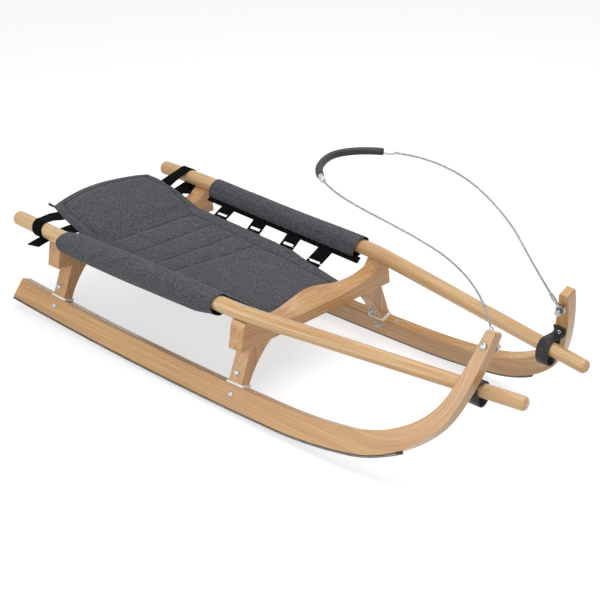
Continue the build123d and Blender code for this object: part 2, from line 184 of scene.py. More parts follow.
def place_of(tree):
    """The frame's x, y and z at the shaded point."""
    coordinates = add(tree, "TexCoord").outputs["Object"]
    return add(tree, "SeparateXYZ", coordinates).outputs


def surfaced(tree, shader, colour, relief, distance, strength):
    """Give a shader its colour, and a relief that stands out by that distance in metres."""
    tree.links.new(colour.outputs[0], shader.inputs["Base Color"])
    raised = add(tree, "Bump", Height=relief, Distance=distance, Strength=strength)
    tree.links.new(raised.outputs[0], shader.inputs["Normal"])


# Cells per metre along and across the grain: growth lines about 3 mm apart and 250 mm long, slow
# changes of tone over 30 mm, and pores 3 mm long, drawn 0.7 mm wide so that they show
GROWTH_LINES, TONES, PORES = (4, 330), (2.5, 30), (300, 1500)


def wood(name, hexes, axes, settings):
    """Varnished wood: dark, middle and light lines, and dark pores. axes gives the sockets along and
    across the grain."""
    made, tree, shader = finish_of(name, settings)
    along, across, third = axes(tree, *place_of(tree))
    dark, middle, light, pore = hexes

    def stretched(scales, **extra):
        lengthwise, crosswise = scales
        scaled = [add(tree, "Math", socket, scale, operation="MULTIPLY")
                  for socket, scale in ((along, lengthwise), (across, crosswise), (third, crosswise))]
        return add(tree, "TexNoise", Vector=add(tree, "CombineXYZ", *scaled), Scale=1.0, **extra)

    rings = stretched(GROWTH_LINES, Detail=3.0, Roughness=0.55, Distortion=0.15)
    tones = stretched(TONES, Detail=2.0)
    pores = stretched(PORES, Detail=1.0)
    lines = add(tree, "ValToRGB", rings, stops=((0.28, dark), (0.47, middle), (0.70, light)))
    shade = add(tree, "ValToRGB", tones, stops=((0.30, "d9c3a8"), (0.70, "ffffff")))
    toned = add(tree, "MixRGB", 0.75, lines, shade, blend_type="MULTIPLY")
    mask = add(tree, "ValToRGB", pores, stops=((0.60, "000000"), (0.72, "ffffff")))
    depth = add(tree, "Math", mask, 0.45, operation="MULTIPLY")
    flecked = add(tree, "MixRGB", depth, toned, linear(pore))
    relief = add(tree, "Math", rings, pores, operation="ADD")
    surfaced(tree, shader, flecked, relief, distance=0.0002, strength=0.25)
    return made


# The centre of the horn's bend in the runner's plane, and the radius at which it is measured
BEND_X, BEND_HEIGHT, BEND_RADIUS = 0.345, 0.240, 0.235


def bent_grain(tree, x, y, z):
    """Along and across the laminations of a runner: straight to the bend, round it, and up the horn."""
    sideways = add(tree, "Math", y, operation="ABSOLUTE")
    off_track = add(tree, "Math", sideways, HALF_TRACK, operation="SUBTRACT")
    raised = add(tree, "Math", z, cos(CANT), operation="MULTIPLY")
    height = add(tree, "Math", off_track, -sin(CANT), raised, operation="MULTIPLY_ADD")
    beyond = add(tree, "Math", x, BEND_X, operation="SUBTRACT")
    ahead = add(tree, "Math", beyond, 0.0, operation="MAXIMUM")
    under = add(tree, "Math", BEND_HEIGHT, height, operation="SUBTRACT")
    below = add(tree, "Math", under, 0.0, operation="MAXIMUM")
    below_squared = add(tree, "Math", below, below, operation="MULTIPLY")
    squares = add(tree, "Math", ahead, ahead, below_squared, operation="MULTIPLY_ADD")
    across = add(tree, "Math", squares, operation="SQRT")
    straight = add(tree, "Math", x, BEND_X, operation="MINIMUM")
    turn = add(tree, "Math", ahead, below, operation="ARCTAN2")
    to_horn = add(tree, "Math", turn, BEND_RADIUS, straight, operation="MULTIPLY_ADD")
    above = add(tree, "Math", height, BEND_HEIGHT, operation="SUBTRACT")
    up_horn = add(tree, "Math", above, 0.0, operation="MAXIMUM")
    along = add(tree, "Math", to_horn, up_horn, operation="ADD")
    lift = add(tree, "Math", z, sin(CANT), operation="MULTIPLY")
    third = add(tree, "Math", sideways, cos(CANT), lift, operation="MULTIPLY_ADD")
    return along, across, third


# Where a side rail bends inwards, and by how much for each metre ahead
RAIL_BEND_X, RAIL_LEAN = 0.048, 0.181


def rail_grain(tree, x, y, z):
    """Along x, and in the front part inwards with the rail."""
    beyond = add(tree, "Math", x, RAIL_BEND_X, operation="SUBTRACT")
    ahead = add(tree, "Math", beyond, 0.0, operation="MAXIMUM")
    sideways = add(tree, "Math", y, operation="ABSOLUTE")
    return x, add(tree, "Math", ahead, RAIL_LEAN, sideways, operation="MULTIPLY_ADD"), z


def bar_grain(tree, x, y, z):
    """From side to side."""
    return y, x, z


def leg_grain(tree, x, y, z):
    """Upright."""
    return z, x, y


# Satin varnish: a soft sheen over the wood that lets its colour through
VARNISH = {"Roughness": 0.45, "Coat Weight": 0.6, "Coat Roughness": 0.2}
# Steam-bent ash: golden lines that follow the runner up into its horn
ash_wood = wood("bent_ash_varnished", ("b98a4f", "c99a5b", "d9af79", "93663a"), bent_grain, VARNISH)
# Turned ash: paler, with long quiet lines
rod_wood = wood("turned_ash_varnished", ("c99d66", "d7b27f", "e6ca9c", "aa7e4a"), rail_grain, VARNISH)
# Sawn beech: redder and darker than the ash
BEECH = ("ad7a43", "c8955b", "d9af7b", "8b5c2e")
bar_wood = wood("sawn_beech_varnished", BEECH, bar_grain, VARNISH)
leg_wood = wood("sawn_beech_upright", BEECH, leg_grain, VARNISH)

WAVE_LENGTH = 0.314  # of a wave texture at scale 1, in metres
# Cells per metre: flecks of single yarns, drawn 1.8 mm wide so that they show, and cloudy changes of
# tone over 20 mm. The weave's scale is that of threads 2.4 mm apart, also coarser than the real ones
FLECKS, CLOUDS, WEAVE = 560.0, 45.0, 130.0


def melange(name, hexes, settings):
    """Woven yarn of mixed greys, dark, middle and light."""
    made, tree, shader = finish_of(name, settings)
    x, y, z = place_of(tree)
    # Slanted, so that the weave shows on upright cloth too
    slanted = add(tree, "Math", z, 0.8, y, operation="MULTIPLY_ADD")
    where = add(tree, "CombineXYZ", x, slanted, z)
    flecks = add(tree, "TexNoise", Vector=where, Scale=FLECKS, Detail=1.0, Roughness=0.5)
    clouds = add(tree, "TexNoise", Vector=where, Scale=CLOUDS, Detail=2.0)
    faint = add(tree, "Math", clouds, 0.06, operation="MULTIPLY")
    mixed = add(tree, "Math", flecks, 0.94, faint, operation="MULTIPLY_ADD")
    colour = add(tree, "ValToRGB", mixed, stops=tuple(zip((0.34, 0.50, 0.66), hexes)))
    warp, weft = [add(tree, "TexWave", Vector=where, Scale=WEAVE, Distortion=0.6,
                      bands_direction=way).outputs[1] for way in "XY"]
    relief = add(tree, "Math", warp, weft, flecks, operation="MULTIPLY_ADD")
    surfaced(tree, shader, colour, relief, distance=0.0004, strength=0.5)
    return made


# Polyester cloth of mixed yarn: an even dark grey with pale flecks and no shine
seat_fabric = melange("woven_melange_polyester", ("2d2d32", "4a4a4f", "6e6e74"),
                      {"Roughness": 0.95, "Sheen Weight": 0.1, "Sheen Roughness": 0.5,
                       "Specular IOR Level": 0.3})
# Painted shade: near-black cloth on the inside of the rolls, so that their open ends stay dark inside
roll_inside_painted_shade = melange("roll_inside_painted_shade_cloth", ("060607", "09090a", "101012"),
                 {"Roughness": 1.0, "Specular IOR Level": 0.1})
# Sewing thread, darker than the cloth: the seams read as thin dark lines; the dark is in part painted shade
# of the seam grooves
seam_thread_and_shade = melange("sewing_thread_and_painted_seam_shade", ("0c0c0e", "161618", "242428"), {"Roughness": 0.9})


def ribbed(name, hexes, spacing, settings):
    """Cloth tape with a rib across it at that spacing."""
    made, tree, shader = finish_of(name, settings)
    x, y, z = place_of(tree)
    where = add(tree, "CombineXYZ", x, add(tree, "Math", y, z, operation="ADD"), 0.0)
    waves = [add(tree, "TexWave", Vector=where, Scale=WAVE_LENGTH / spacing, Distortion=0.4,
                 bands_direction=way).outputs[1] for way in "XY"]
    worn = add(tree, "TexNoise", Vector=where, Scale=160.0, Detail=3.0)
    colour = add(tree, "ValToRGB", worn, stops=((0.35, hexes[0]), (0.65, hexes[1])))
    ribs = add(tree, "Math", *waves, operation="ADD")
    surfaced(tree, shader, colour, ribs, distance=0.0004, strength=0.6)
    return made


# Nylon webbing: deep black with a faint rib every 2 mm
webbing = ribbed("woven_nylon_webbing", ("080809", "131315"), 0.002,
                 {"Roughness": 0.9, "Specular IOR Level": 0.05})


def grained(name, hexes, pebbles, distance, settings):
    """A skin with a fine grain of that many pebbles per metre."""
    made, tree, shader = finish_of(name, settings)
    where = add(tree, "TexCoord").outputs["Object"]
    relief = add(tree, "TexVoronoi", Vector=where, Scale=pebbles)
    clouds = add(tree, "TexNoise", Vector=where, Scale=60.0, Detail=3.0)
    colour = add(tree, "ValToRGB", clouds, stops=((0.35, hexes[0]), (0.65, hexes[1])))
    surfaced(tree, shader, colour, relief, distance, strength=0.4)
    return made


# Greased bridle leather: black, with a soft gleam over a fine pebble
leather = grained("greased_bridle_leather", ("141415", "232325"), 900.0, 0.0003,
                  {"Roughness": 0.5, "Specular IOR Level": 0.4})
# Extruded rubber hose: dark grey with a dull gleam along it
rubber = grained("extruded_rubber_hose", ("101012", "1c1c1f"), 1500.0, 0.0002, {"Roughness": 0.5})
# Cut polyethylene sheet: off-white and slightly waxy
foot_plastic = grained("cut_polyethylene_sheet", ("e2ded2", "efece2"), 700.0, 0.0001,
                       {"Roughness": 0.45, "Subsurface Weight": 0.1})
# Hard rubber strip: a dead black line under the wood; the black is in part painted shade of the unlit band
# along the runner's underside
sole_strip_black_and_shade = grained("hard_black_rubber_strip_and_painted_shade", ("0a0908", "151311"), 900.0, 0.0002,
                        {"Roughness": 0.7, "Specular IOR Level": 0.3})


def metal(name, hexes, rough, marks):
    """Bare or plated metal, a little dulled. marks is how many drawn marks or grains it has per metre
    along x, y and z."""
    made, tree, shader = finish_of(name, {"Metallic": 1.0})
    coordinates = add(tree, "TexCoord").outputs["Object"]
    where = add(tree, "Mapping", Vector=coordinates, Scale=marks)
    worn = add(tree, "TexNoise", Vector=where, Scale=1.0, Detail=3.0)
    colour = add(tree, "ValToRGB", worn, stops=((0.3, hexes[0]), (0.7, hexes[1])))
    dulled = add(tree, "MapRange", worn, 0.0, 1.0, *rough)
    tree.links.new(dulled.outputs[0], shader.inputs["Roughness"])
    surfaced(tree, shader, colour, worn, distance=0.0001, strength=0.15)
    return made


# Marks 25 mm long, drawn 1 mm wide so that they show, and even patches of 3 mm
LENGTHWISE, EVEN = (40.0, 900.0, 900.0), (300.0, 300.0, 300.0)
# Ground spring steel with long drawn marks; its dark grey is painted shade, standing for the unlit side of
# the steel under the runner
rail_steel_painted_shade = metal("ground_spring_steel_painted_shade", ("4c4b49", "757370"), (0.3, 0.5), LENGTHWISE)
# Zinc plated steel: bluish silver that catches the lamps
zinc = metal("zinc_plated_steel", ("8b9095", "c6cacd"), (0.2, 0.38), EVEN)
# Pressed aluminium: paler and warmer silver
aluminium = metal("pressed_aluminium", ("b7b9bc", "dcddde"), (0.22, 0.4), EVEN)
# Galvanised wire: dull even grey, so that the thin cable stands out from a white ground
wire_steel = metal("galvanised_wire", ("8c8e90", "b0b2b4"), (0.5, 0.65), EVEN)

FINISHES = {
    "runner": ash_wood, "sole_strip": sole_strip_black_and_shade, "steel_rail": rail_steel_painted_shade, "side_rail": rod_wood,
    "horn_bolt": zinc, "cable_eye": zinc, "front_leg": leg_wood, "rear_leg": leg_wood,
    "front_foot_pad": foot_plastic, "rear_foot_pad": foot_plastic,
}
dressed = {f"{name}_{label}": finish for name, finish in FINISHES.items()
           for label in SIDE_NAMES.values()}
dressed.update(front_crossbar=bar_wood, rear_crossbar=bar_wood)
for name, finish in dressed.items():
    nodes[name].data.materials.clear()
    nodes[name].data.materials.append(finish)


# Making meshes
def piece(name, vertices, faces, body, finish, slot):
    """A mesh that rides on a body, with its finish."""
    mesh = bpy.data.meshes.new(name)
    mesh.from_pydata([tuple(v) for v in vertices], [], faces)
    made = bpy.data.objects.new(name, mesh)
    scene.collection.objects.link(made)
    mesh.materials.append(finish)
    mesh.polygons.foreach_set("use_smooth", [True] * len(faces))
    mesh.update()
    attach(made, body)
    return made


def skin(rings, ends=False):
    """Vertices and faces of a grid of closed rings. ends closes the first and the last one."""
    count = len(rings[0])
    faces = []
    for row in range(len(rings) - 1):
        for column in range(count):
            a, b = row * count + column, row * count + (column + 1) % count
            faces.append((a, b, b + count, a + count))
    if ends:
        last = (len(rings) - 1) * count
        faces.append(tuple(reversed(range(count))))
        faces.append(tuple(last + i for i in range(count)))
    return [v for ring in rings for v in ring], faces


def merged(parts):
    """One list of vertices and faces from several."""
    vertices, faces = [], []
    for more_vertices, more_faces in parts:
        faces += [tuple(i + len(vertices) for i in face) for face in more_faces]
        vertices += more_vertices
    return vertices, faces


def through(points, step):
    """A smooth line through the points, with points about step apart."""
    line = []
    padded = [points[0] * 2 - points[1], *points, points[-1] * 2 - points[-2]]
    for a, b, c, d in zip(padded, padded[1:], padded[2:], padded[3:]):
        count = max(1, ceil((c - b).length / step))
        for i in range(count):
            t = i / count
            line.append(0.5 * (2 * b + (c - a) * t + (2 * a - 5 * b + 4 * c - d) * t ** 2
                               + (3 * b - a - 3 * c + d) * t ** 3))
    return line + [points[-1]]


def band(line, across, width, thickness):
    """A flat strap along a line, with its edges taken off. across is its width's direction, one for all
    or one for each point of the line."""
    half, thin, corner = width / 2, thickness / 2, thickness * 0.35
    profile = ((half - corner, thin), (half, thin - corner), (half, corner - thin), (half - corner, -thin),
               (corner - half, -thin), (-half, corner - thin), (-half, thin - corner), (corner - half, thin))
    rings = []
    for i, point in enumerate(line):
        ahead = (line[min(i + 1, len(line) - 1)] - line[max(i - 1, 0)]).normalized()
        side = across[i] if isinstance(across, list) else across
        side = (side - ahead * side.dot(ahead)).normalized()
        rings.append([point + side * u + side.cross(ahead) * v for u, v in profile])
    return skin(rings, ends=True)


def carried(line):
    """Two directions square to the line at each of its points, with no twist along it."""
    side = (line[1] - line[0]).orthogonal().normalized()
    sides = []
    for i, point in enumerate(line):
        ahead = (line[min(i + 1, len(line) - 1)] - line[max(i - 1, 0)]).normalized()
        side = (side - ahead * side.dot(ahead)).normalized()
        sides.append((side, ahead.cross(side)))
    return sides


def tube(line, radii, count):
    """A round tube along a line, with a radius at each of its points and that many sides."""
    rings = []
    for point, (u, v), radius in zip(line, carried(line), radii):
        rings.append([point + (u * cos(2 * pi * k / count) + v * sin(2 * pi * k / count)) * radius
                      for k in range(count)])
    return skin(rings, ends=True)


TURNED_SIDES = 24


def lathed(profile, place, axis, hexagon=()):
    """A turned shape on that axis: rows of radius and height, those in hexagon with six flat sides."""
    u = axis.orthogonal().normalized()
    v = axis.cross(u)
    rings = []
    for row, (radius, height) in enumerate(profile):
        ring = []
        for k in range(TURNED_SIDES):
            angle = 2 * pi * k / TURNED_SIDES
            flat = 1 / cos((angle + pi / 6) % (pi / 3) - pi / 6) * cos(pi / 6) if row in hexagon else 1
            ring.append(place + (u * cos(angle) + v * sin(angle)) * radius * flat + axis * height)
        rings.append(ring)
    vertices, faces = skin(rings, ends=True)
    return vertices, [face[::-1] for face in faces]


# Pull cable: six strands round a core, along a smooth curve from eye to eye
HALF_ROUTE = (
    (0.519, 0.088, 0.277), (0.500, 0.079, 0.308), (0.468, 0.076, 0.347), (0.425, 0.088, 0.383),
    (0.377, 0.102, 0.405), (0.323, 0.116, 0.423), (0.267, 0.123, 0.435), (0.209, 0.118, 0.443),
    (0.157, 0.098, 0.447), (0.113, 0.064, 0.449), (0.093, 0.018, 0.452),
)
STRANDS, STRAND_RADIUS, STRAND_OFFSET, LAY_LENGTH, CABLE_STEP = 6, 0.00068, 0.00130, 0.030, 0.003
HOSE_LENGTH, HOSE_RADIUS, HOSE_ROUNDING = 0.200, 0.00675, 0.0012
FERRULE_LENGTH, FERRULE_RADIUS, FERRULE_TUCK, FERRULE_LIP = 0.018, 0.0050, 0.002, 0.004
CRIMP_DEPTH_SHARE, FERRULE_END_SHARE = 0.14, 0.8

route = [Vector(p) for p in HALF_ROUTE] + [Vector((x, -y, z)) for x, y, z in reversed(HALF_ROUTE)]
curve = bpy.data.curves.new("cable_route", "CURVE")
curve.dimensions = "3D"
spline = curve.splines.new("NURBS")
spline.points.add(len(route) - 1)
for control, place in zip(spline.points, route):
    control.co = (*place, 1)
spline.order_u = 3
spline.use_endpoint_u = True
spline.resolution_u = 24
route_object = bpy.data.objects.new("cable_route", curve)
route_mesh = bpy.data.meshes.new_from_object(route_object)
smooth_route = [v.co.copy() for v in route_mesh.vertices]
bpy.data.objects.remove(route_object)
bpy.data.meshes.remove(route_mesh)


def evenly(line, step):
    """The line again with points step apart, and the distance of each along it."""
    lengths = [0.0]
    for a, b in zip(line, line[1:]):
        lengths.append(lengths[-1] + (b - a).length)
    count = ceil(lengths[-1] / step)
    points, distances, segment = [], [], 0
    for i in range(count + 1):
        distance = lengths[-1] * i / count
        while segment < len(line) - 2 and lengths[segment + 1] < distance:
            segment += 1
        share = (distance - lengths[segment]) / (lengths[segment + 1] - lengths[segment])
        points.append(line[segment].lerp(line[segment + 1], share))
        distances.append(distance)
    return points, distances


cable_line, cable_distances = evenly(smooth_route, CABLE_STEP)
cable_middle = cable_distances[-1] / 2
parts = [tube(cable_line, [STRAND_RADIUS] * len(cable_line), count=6)]
for strand in range(STRANDS):
    winding = []
    for point, (u, v), distance in zip(cable_line, carried(cable_line), cable_distances):
        angle = 2 * pi * (strand / STRANDS + distance / LAY_LENGTH)
        winding.append(point + (u * cos(angle) + v * sin(angle)) * STRAND_OFFSET)
    parts.append(tube(winding, [STRAND_RADIUS] * len(winding), count=6))
cable = piece("pull_cable_rope", *merged(parts), "pull_loop", wire_steel, "cable_steel")
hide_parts("pull_cable")


def along_cable(start, end, step):
    """The stretch of the cable between two distances from its middle."""
    stretch = [p for p, d in zip(cable_line, cable_distances) if start <= d - cable_middle <= end]
    return evenly(stretch, step)


hose_line, hose_distances = along_cable(-HOSE_LENGTH / 2, HOSE_LENGTH / 2, 0.002)
hose_end = hose_distances[-1]
hose_radii = [HOSE_RADIUS - HOSE_ROUNDING * exp(-min(d, hose_end - d) / HOSE_ROUNDING)
              for d in hose_distances]
hose_tube = tube(hose_line, hose_radii, count=28)
hose = piece("grip_hose_skin", *hose_tube, "pull_loop", rubber, "grip_rubber")
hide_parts("grip_hose")
for side in (LEFT, RIGHT):
    inner = -side * (HOSE_LENGTH / 2 - FERRULE_TUCK)
    outer = -side * (HOSE_LENGTH / 2 + FERRULE_LENGTH + FERRULE_LIP)
    line, distances = along_cable(*sorted((inner, outer)), 0.001)
    # Two crimps, where the wave is above zero
    crimps = [max(0, sin(3 * pi * d / distances[-1])) ** 4 for d in distances]
    squeezed = [FERRULE_RADIUS * (1 - CRIMP_DEPTH_SHARE * crimp) for crimp in crimps]
    squeezed[0] = squeezed[-1] = FERRULE_RADIUS * FERRULE_END_SHARE
    ferrule = piece(f"grip_ferrule_crimped_{SIDE_NAMES[side]}", *tube(line, squeezed, count=20),
                    "pull_loop", aluminium, "ferrule_metal")
    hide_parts(f"grip_ferrule_{SIDE_NAMES[side]}")


# Sewn goods
CLOTH_FRAMES = 20


def landing(name, start, way):
    """Where a line from start, going that way, meets a CAD node, and the surface's direction there."""
    mesh = nodes[name].data
    matrix = nodes[name].matrix_world
    corners = [matrix @ v.co for v in mesh.vertices]
    tree = BVHTree.FromPolygons(corners, [p.vertices for p in mesh.polygons])
    place, normal, _, _ = tree.ray_cast(start, way)
    return place, normal


def puffed(made, sewn, pressure, cap, spare=0.0):
    """Blow a cloth shell up a little between its sewn points, with some spare cloth, and smooth it.
    No point moves further than cap."""
    before = [v.co.copy() for v in made.data.vertices]
    group = made.vertex_groups.new(name="sewn")
    group.add(sewn, 1.0, "REPLACE")
    cloth = made.modifiers.new("cloth", "CLOTH")
    cloth.settings.quality = 6
    cloth.settings.use_pressure = True
    cloth.settings.uniform_pressure_force = pressure
    cloth.settings.vertex_group_mass = "sewn"
    cloth.settings.shrink_min = -spare
    cloth.settings.effector_weights.gravity = 0
    for frame in range(1, CLOTH_FRAMES + 1):
        scene.frame_set(frame)
    blown = made.evaluated_get(bpy.context.evaluated_depsgraph_get()).to_mesh()
    after = [v.co.copy() for v in blown.vertices]
    made.modifiers.remove(cloth)
    scene.frame_set(1)
    for vertex, old, new in zip(made.data.vertices, before, after):
        shift = new - old
        vertex.co = old + shift * min(1, cap / max(shift.length, 1e-9))
    smooth = made.modifiers.new("smooth", "SUBSURF")
    smooth.levels = smooth.render_levels = 1


def eased(value):
    """0 to 1 with soft ends."""
    value = min(max(value, 0), 1)
    return value * value * (3 - 2 * value)


# The seat panel in millimetres: x; y and z of the edge on the near roll, of the fold below it, height
# of the middle, y and z of the laced edge, and how far the rear end bows out behind x
PANEL_ROWS = (
    (-566, -123, 207, -104, 209, 212, 133, 207, 26),
    (-548, -127, 202, -107, 205, 208, 142, 202, 22),
    (-530, -130, 196, -109, 200, 203, 148, 196, 16),
    (-500, -133, 189, -112, 192, 195, 151, 188, 7),
    (-476, -136, 182, -115, 185, 187, 151, 181, 2),
    (-459, -137, 177, -118, 179, 182, 149, 177, 0),
    (-444, -138, 173, -120, 174, 177, 148, 173, 0),
    (-437, -149, 181, -121, 171, 173, 148, 170, 0),
    (-430, -172, 200, -122, 169, 169, 147, 168, 0),
    (-422, -186, 211, -122, 167, 166, 147, 166, 0),
    (-275, -181, 209, -118, 161, 157, 150, 158, 0),
    (-180, -177, 208, -113, 158, 155, 146, 155, 0),
    (-135, -175, 208, -111, 157, 154, 141, 155, 0),
    (-76, -173, 207, -108, 156, 153, 125, 153, 0),
    (28, -169, 206, -100, 153, 150, 105, 149, 0),
)
PANEL_TOP_DROP = 4.0
PANEL_GRID = 5.0
STRIP_COLUMNS, PANEL_COLUMNS = 16, 54
# Sewn lines: x of each cross seam at its near and far end; x and y of both hems; the rear hem's
# distance from the edge
CROSS_SEAMS = ((-413, -404), (-344, -341), (-282, -273), (-234, -207))
NEAR_SEAM_Y, FAR_SEAM_Y = -115.0, 112.0
FAR_HEM = ((-580, 100), (-560, 122), (-530, 135), (-498, 139), (-450, 133), (-404, 114), (-341, 116),
           (-273, 115), (-207, 107), (-124, 103), (11, 89), (40, 86))
NEAR_HEM = ((-580, -90), (-560, -101), (-515, -109), (-435, -111), (-400, -112))
NEAR_HEM_FRONT = -430
REAR_HEM = 12.0
# The cloth is thin at a seam and swells to its full thickness over the groove's width
PAD_THICKNESS, SEAM_THICKNESS, GROOVE_WIDTH, SEWN_REACH = 5.6, 1.4, 13, 2.6
# Small gathers along the far hem
HEM_PUCKER, HEM_PUCKER_LENGTH, HEM_REACH = 1.0, 2.8, 22.0


def along_table(table, x):
    """A two-column table at x, in straight steps."""
    for (x0, y0), (x1, y1) in zip(table, table[1:]):
        if x <= x1 or (x1, y1) == table[-1]:
            return y0 + (y1 - y0) * (x - x0) / (x1 - x0)


def panel_row(x):
    """The panel's row at x, without its x."""
    for low, high in zip(PANEL_ROWS, PANEL_ROWS[1:]):
        if x <= high[0] or high is PANEL_ROWS[-1]:
            share = (x - low[0]) / (high[0] - low[0])
            return [a + share * (b - a) for a, b in zip(low[1:], high[1:])]


def panel_middle(x, column):
    """A point of the panel's middle layer, in millimetres."""
    near_y, near_z, fold_y, fold_z, middle_z, far_y, far_z, bow = panel_row(x)
    if column <= STRIP_COLUMNS:
        share = column / STRIP_COLUMNS
        y, z = near_y + share * (fold_y - near_y), near_z + share * (fold_z - near_z)
    else:
        share = (column - STRIP_COLUMNS) / PANEL_COLUMNS
        y = fold_y + share * (far_y - fold_y)
        sag = middle_z - (fold_z + far_z) / 2
        z = fold_z + share * (far_z - fold_z) + sag * 4 * share * (1 - share)
    across = (y - near_y) / (far_y - near_y)
    return Vector((x - bow * sin(pi * across), y, z - PANEL_TOP_DROP))


def cross_seam_x(seam, y):
    """Where a cross seam runs at y."""
    near, far = seam
    return near + (far - near) * (y - NEAR_SEAM_Y) / (FAR_SEAM_Y - NEAR_SEAM_Y)


def seam_distance(place, row, column):
    """How far a point of the panel is from the next sewn line or edge, in millimetres."""
    x, y = place.x, place.y
    edge_rows = min(row, PANEL_COUNT - row)
    edge_columns = min(column, STRIP_COLUMNS + PANEL_COLUMNS - column, abs(column - STRIP_COLUMNS))
    found = [abs(y - along_table(FAR_HEM, x)), edge_rows * PANEL_GRID, edge_columns * PANEL_GRID,
             abs(row * PANEL_GRID - REAR_HEM)]
    if x < NEAR_HEM_FRONT:
        found.append(abs(y - along_table(NEAR_HEM, x)))
    if NEAR_SEAM_Y < y < along_table(FAR_HEM, x) + 2:
        found += [abs(x - cross_seam_x(seam, y)) for seam in CROSS_SEAMS]
    return min(found)


PANEL_COUNT = round((PANEL_ROWS[-1][0] - PANEL_ROWS[0][0]) / PANEL_GRID)
columns = STRIP_COLUMNS + PANEL_COLUMNS + 1
tops, bottoms, sewn = [], [], []
for row in range(PANEL_COUNT + 1):
    x = PANEL_ROWS[0][0] + (PANEL_ROWS[-1][0] - PANEL_ROWS[0][0]) * row / PANEL_COUNT
    for column in range(columns):
        place = panel_middle(x, column)
        distance = seam_distance(place, row, column)
        swell = eased(distance / GROOVE_WIDTH)
        half = (SEAM_THICKNESS + (PAD_THICKNESS - SEAM_THICKNESS) * swell) / 2
        # Slow lumps over 34 mm, and smaller ones over 13 mm
        lumps = 0.5 * noise.noise(place / 34) + 0.25 * noise.noise(place / 13)
        off_hem = abs(place.y - along_table(FAR_HEM, place.x))
        gathers = HEM_PUCKER * sin(place.x / HEM_PUCKER_LENGTH + 2 * noise.noise(place / 19))
        lumps += gathers * eased(1 - off_hem / HEM_REACH)
        tops.append((place + Vector((0, 0, half + lumps))) * MM)
        bottoms.append((place - Vector((0, 0, half - lumps))) * MM)
        if distance < SEWN_REACH:
            sewn.append(row * columns + column)
count = len(tops)
faces = []
for row in range(PANEL_COUNT):
    for column in range(columns - 1):
        a = row * columns + column
        quad = (a, a + columns, a + columns + 1, a + 1)
        faces += [quad, tuple(i + count for i in quad[::-1])]
rim = [*range(columns)]
rim += [row * columns + columns - 1 for row in range(1, PANEL_COUNT + 1)]
rim += [PANEL_COUNT * columns + column for column in range(columns - 2, -1, -1)]
rim += [row * columns for row in range(PANEL_COUNT - 1, 0, -1)]
faces += [(b, b + count, a + count, a) for a, b in zip(rim, rim[1:] + rim[:1])]
panel = piece("seat_panel", tops + bottoms, faces, "sled", seat_fabric, "seat_fabric")
puffed(panel, sewn + [i + count for i in sewn], pressure=4.0, cap=0.0022, spare=0.015)
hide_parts("seat_pad")


# The two rolls round the side rails: a ring of 40 points every 4.5 mm. Fine creases stand round one
# angle of the laced roll
ROLL_SIDES, ROLL_STEP, ROLL_CLOTH = 40, 4.5, 0.0016
PUCKER_ANGLE, PUCKER_REACH, PUCKER_LENGTH = 350, 65, 2.6


def off_rail(x, side, angle, reach):
    """A point at that reach from a rail's middle, 0 degrees inwards and 90 up."""
    middle = rail_at(x, side)
    turned = radians(angle)
    return Vector((x, middle.y - side * cos(turned) * reach, middle.z + sin(turned) * reach))


def between_angles(values, angle):
    """Values given every 45 degrees from 0, at this angle."""
    low = int(angle // 45) % 8
    share = (angle % 45) / 45
    return values[low] * (1 - share) + values[(low + 1) % 8] * share


def rolled(name, side, ends, rims, profiles, sewn_angle, pressure, cap, pucker):
    """A cloth roll round a rail, open at both ends, with painted shade on its inside."""
    rear, front = ends
    rows = round((front - rear) / ROLL_STEP)
    rings = []
    for row in range(rows + 1):
        share = row / rows
        ring = []
        for k in range(ROLL_SIDES):
            angle = 360 * k / ROLL_SIDES
            front_lead = between_angles(rims[1], angle) * eased(share * 4 - 3)
            rear_lead = between_angles(rims[0], angle) * eased(1 - share * 4)
            x = rear + (front - rear) * share + (front_lead + rear_lead)
            for (low, low_radii), (high, high_radii) in zip(profiles, profiles[1:]):
                if low <= share <= high:
                    part = eased((share - low) / (high - low))
                    radius = (between_angles(low_radii, angle) * (1 - part)
                              + between_angles(high_radii, angle) * part)
            off_crease = abs((angle - PUCKER_ANGLE + 180) % 360 - 180)
            wave = sin(x / PUCKER_LENGTH + 2.2 * noise.noise(Vector((x / 17, angle / 60, side))))
            creases = pucker * wave * eased(1 - off_crease / PUCKER_REACH)
            # Slow lumps over 60 mm, and smaller ones over 14 mm
            lumps = (0.35 * noise.noise(Vector((x / 60, angle / 45, side * 3)))
                     + 0.15 * noise.noise(Vector((x / 14, angle / 25, side * 5))))
            ring.append(off_rail(x * MM, side, angle, (radius + creases + lumps) * MM))
        rings.append(ring)
    vertices, faces = skin(rings)
    if side == LEFT:
        faces = [face[::-1] for face in faces]
    made = piece(name, vertices, faces, "sled", seat_fabric, "seat_fabric")
    seam = round(sewn_angle / 360 * ROLL_SIDES)
    pins = [row * ROLL_SIDES + (seam + k) % ROLL_SIDES for row in range(rows + 1) for k in (0, 1)]
    pins += [row * ROLL_SIDES + k for row in (0, 1, rows - 1, rows) for k in range(ROLL_SIDES)]
    shell = made.modifiers.new("cloth_thickness", "SOLIDIFY")
    shell.thickness = ROLL_CLOTH
    shell.offset = -1
    shell.use_even_offset = True
    # Painted shade: the shell's inner side takes the near-black inside cloth, so that the roll is dark
    # within
    shell.material_offset = 1
    made.data.materials.append(roll_inside_painted_shade)
    puffed(made, pins, pressure, cap)
    return made


